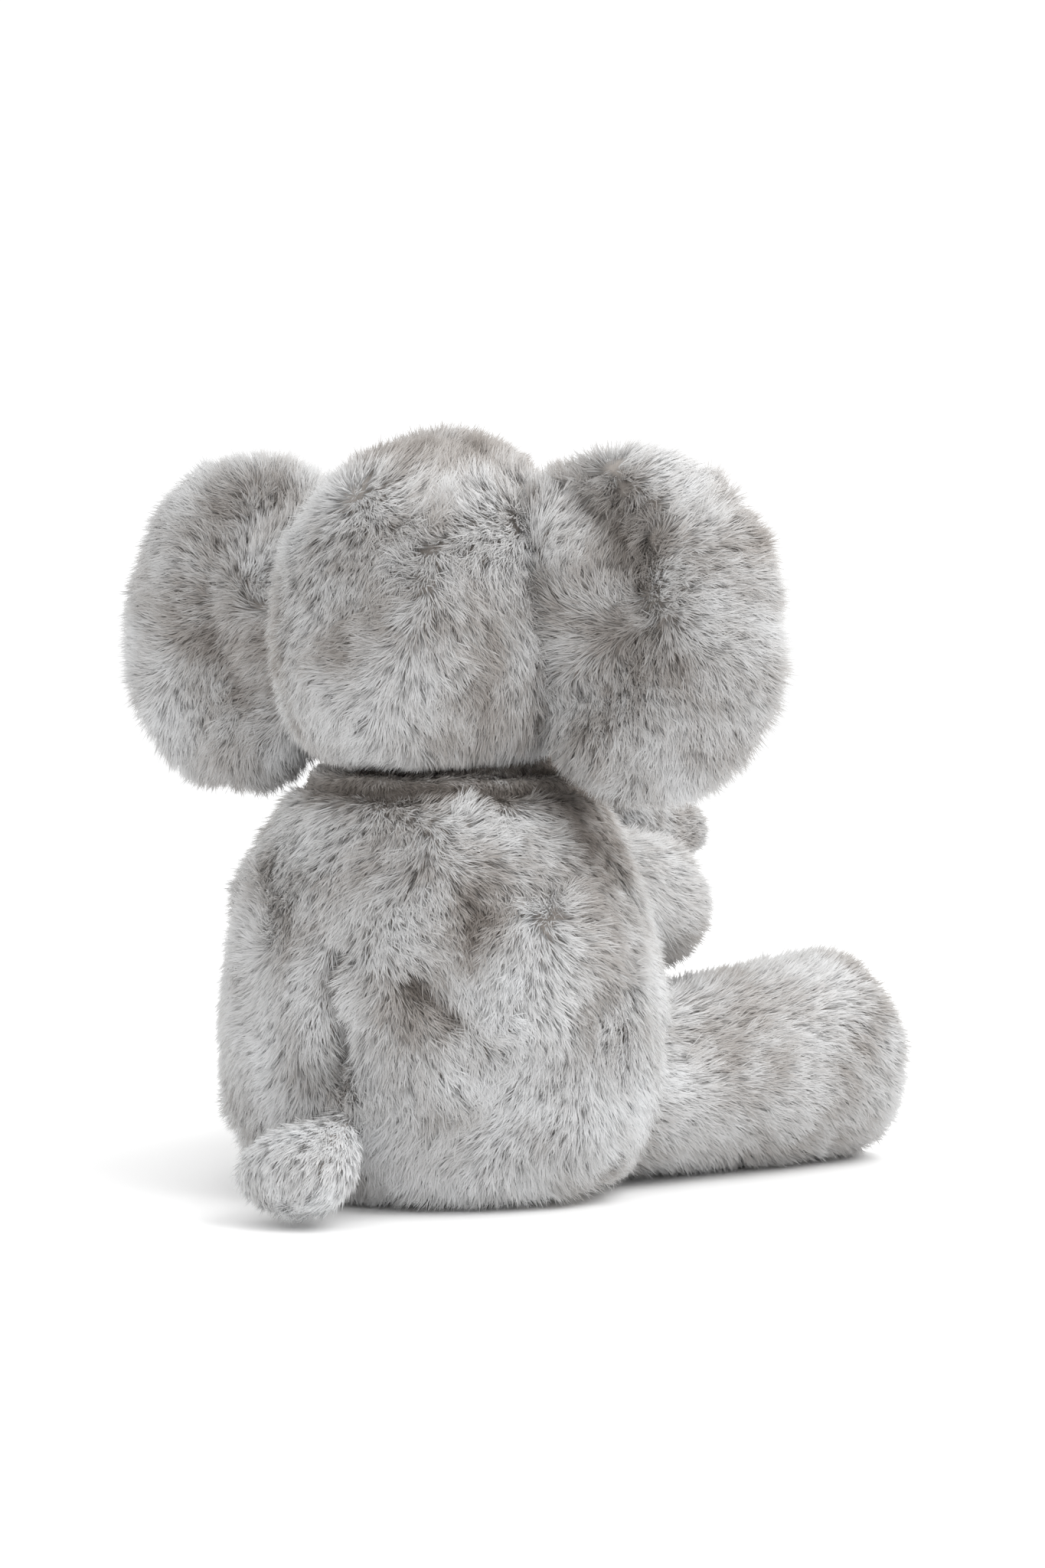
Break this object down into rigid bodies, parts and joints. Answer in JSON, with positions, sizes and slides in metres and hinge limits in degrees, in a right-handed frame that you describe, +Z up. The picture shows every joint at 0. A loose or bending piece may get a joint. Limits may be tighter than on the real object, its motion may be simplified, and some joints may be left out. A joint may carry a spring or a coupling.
{
  "type": "stuffed elephant",
  "caption": "Seated stuffed elephant in long-pile plush: round head with large side ears and a curved trunk, soft arms, stout legs and a paddle tail.",
  "frame": {"origin": "centre of the flat seat face that the toy sits on", "axes": "+Z up, the toy faces -Y, +X is the toy's own left side"},
  "size_m": [0.282, 0.3142, 0.2787],
  "materials": {
    "fur": "long-pile plush",
    "lining": "short-pile plush",
    "fibrefill": "polyester fibre filling",
    "pellet_cloth": "plain woven bag of pellets",
    "eye_plastic": "glossy",
    "washer_plastic": "moulded",
    "label_tape": "satin tape, blank"
  },
  "bodies": {
    "torso": {"torso_back_left": "fur", "torso_back_right": "fur", "torso_belly_panel": "fur", "torso_seat_panel": "fur", "torso_stuffing": "fibrefill", "seat_pellet_bag": "pellet_cloth", "care_label": "label_tape"},
    "neck": {"neck_stuffing": "fibrefill"},
    "head": {"head_side_left": "fur", "head_side_right": "fur", "head_gusset": "fur", "head_chin_panel": "fur", "head_stuffing": "fibrefill", "eye_left": "eye_plastic", "eye_washer_left": "washer_plastic", "eye_right": "eye_plastic", "eye_washer_right": "washer_plastic"},
    "trunk": {"trunk_upper_panel": "fur", "trunk_under_panel": "lining", "trunk_stuffing": "fibrefill"},
    "ear_left": {"ear_left_back": "fur", "ear_left_lining": "lining", "ear_left_wadding": "fibrefill"},
    "ear_right": {"ear_right_back": "fur", "ear_right_lining": "lining", "ear_right_wadding": "fibrefill"},
    "arm_left": {"arm_left_fur": "fur", "arm_left_paw_pad": "lining", "arm_left_stuffing": "fibrefill"},
    "arm_right": {"arm_right_fur": "fur", "arm_right_paw_pad": "lining", "arm_right_stuffing": "fibrefill"},
    "leg_left": {"leg_left_fur": "fur", "leg_left_sole": "lining", "leg_left_stuffing": "fibrefill", "leg_left_pellet_bag": "pellet_cloth"},
    "leg_right": {"leg_right_fur": "fur", "leg_right_sole": "lining", "leg_right_stuffing": "fibrefill", "leg_right_pellet_bag": "pellet_cloth"},
    "tail": {"tail_fur": "fur", "tail_stuffing": "fibrefill"}
  },
  "joints": [
    {"name": "neck_turn", "type": "hinge", "parent": "torso", "child": "neck", "pos_m": [0, 0.007, 0.162], "axis": [0, 0, 1], "range_deg": [-20, 20], "stiffness_Nm_per_rad": 0.9},
    {"name": "head_nod", "type": "hinge", "parent": "neck", "child": "head", "pos_m": [0, 0.007, 0.162], "axis": [1, 0, 0], "range_deg": [-12, 12], "stiffness_Nm_per_rad": 1.2},
    {"name": "trunk_lift", "type": "hinge", "parent": "head", "child": "trunk", "pos_m": [0, -0.038, 0.2], "axis": [-1, 0, 0], "range_deg": [-10, 20], "stiffness_Nm_per_rad": 0.4},
    {"name": "ear_left_swing", "type": "hinge", "parent": "head", "child": "ear_left", "pos_m": [0.046, 0.006, 0.214], "axis": [0, 0, 1], "range_deg": [-20, 20], "stiffness_Nm_per_rad": 0.15},
    {"name": "ear_right_swing", "type": "hinge", "parent": "head", "child": "ear_right", "pos_m": [-0.046, 0.006, 0.214], "axis": [0, 0, -1], "range_deg": [-20, 20], "stiffness_Nm_per_rad": 0.15},
    {"name": "arm_left_lift", "type": "hinge", "parent": "torso", "child": "arm_left", "pos_m": [0.043, -0.03, 0.113], "axis": [-1, 0, 0], "range_deg": [0, 15], "stiffness_Nm_per_rad": 0.25},
    {"name": "arm_right_lift", "type": "hinge", "parent": "torso", "child": "arm_right", "pos_m": [-0.043, -0.03, 0.113], "axis": [-1, 0, 0], "range_deg": [0, 15], "stiffness_Nm_per_rad": 0.25},
    {"name": "leg_left_spread", "type": "hinge", "parent": "torso", "child": "leg_left", "pos_m": [0.05, -0.034, 0.037], "axis": [0, 0, 1], "range_deg": [-8, 15], "stiffness_Nm_per_rad": 0.3},
    {"name": "leg_right_spread", "type": "hinge", "parent": "torso", "child": "leg_right", "pos_m": [-0.05, -0.034, 0.037], "axis": [0, 0, -1], "range_deg": [-8, 15], "stiffness_Nm_per_rad": 0.3},
    {"name": "tail_swing", "type": "hinge", "parent": "torso", "child": "tail", "pos_m": [0, 0.067, 0.033], "axis": [0, 0, 1], "range_deg": [-22, 22], "stiffness_Nm_per_rad": 0.1}
  ]
}
